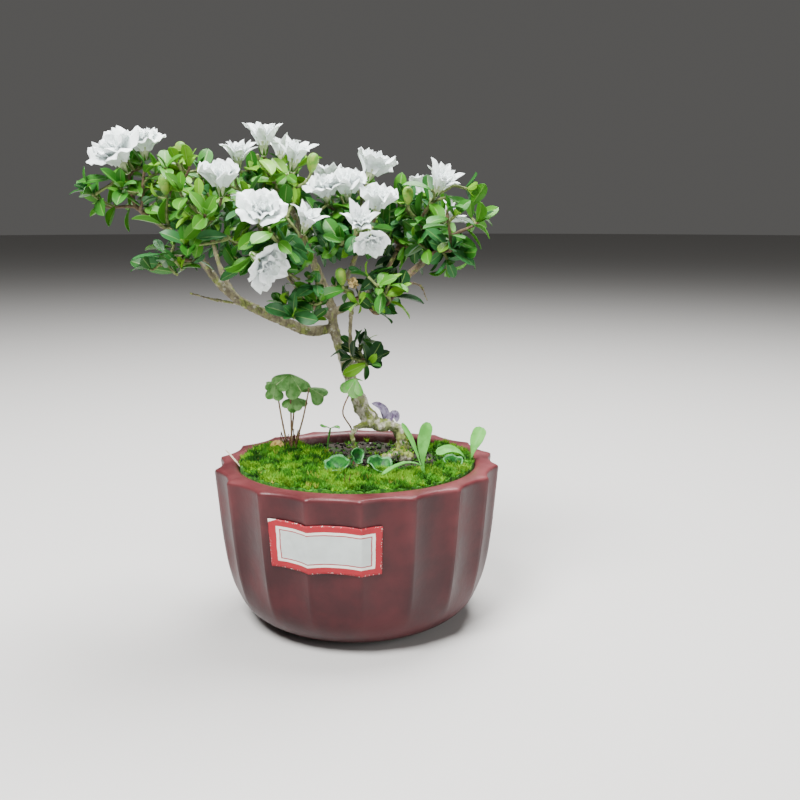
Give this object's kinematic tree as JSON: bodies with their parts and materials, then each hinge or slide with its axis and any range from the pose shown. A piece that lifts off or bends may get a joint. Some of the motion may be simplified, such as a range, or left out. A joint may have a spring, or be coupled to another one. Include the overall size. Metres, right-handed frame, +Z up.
{
  "type": "potted flowering bonsai tree",
  "caption": "Miniature flowering bonsai with a leaning trunk on surface roots, small oval leaves and double white blossom, in a round fluted glazed pot with moss.",
  "frame": {"origin": "middle of the pot's flat underside, on the surface that the pot stands on", "axes": "+Z is up, -Y is the front that faces the viewer, and +X is the viewer's right"},
  "size_m": [0.1354, 0.0962, 0.1622],
  "materials": {
    "glaze": "satin",
    "label_paper": "matte",
    "soil": "matte",
    "moss": "matte",
    "bark": "matte",
    "foliage": "satin",
    "clover_leaf": "matte",
    "sprout_leaf": "matte",
    "fallen_petal": "matte",
    "blossom": "matte"
  },
  "bodies": {
    "root": {"pot": "glaze", "label": "label_paper", "soil": "soil", "moss_left": "moss", "moss_front": "moss", "moss_right": "moss", "trunk": "bark", "root_right": "bark", "root_front": "bark", "bough_left": "bark", "stub_left": "bark", "bough_left_upper": "bark", "bough_left_low": "bark", "bough_left_front": "bark", "bough_left_back": "bark", "bough_front": "bark", "bough_low": "bark", "bough_top": "bark", "bough_centre": "bark", "bough_right": "bark", "twig_right": "bark", "bough_right_back": "bark", "bough_back": "bark", "sprig": "bark", "shoot_front": "bark", "foliage_left_tip": "foliage", "foliage_left_front": "foliage", "foliage_left_low": "foliage", "foliage_left_back": "foliage", "foliage_top": "foliage", "foliage_front": "foliage", "foliage_low": "foliage", "foliage_front_shoot": "foliage", "foliage_centre": "foliage", "foliage_right": "foliage", "foliage_right_back": "foliage", "foliage_back": "foliage", "foliage_trunk": "foliage", "clover": "clover_leaf", "clover_by_trunk": "clover_leaf", "sprout_front": "sprout_leaf", "sprout_right": "sprout_leaf", "sprout_back": "sprout_leaf", "petals": "fallen_petal"}
  },
  "joints": []
}
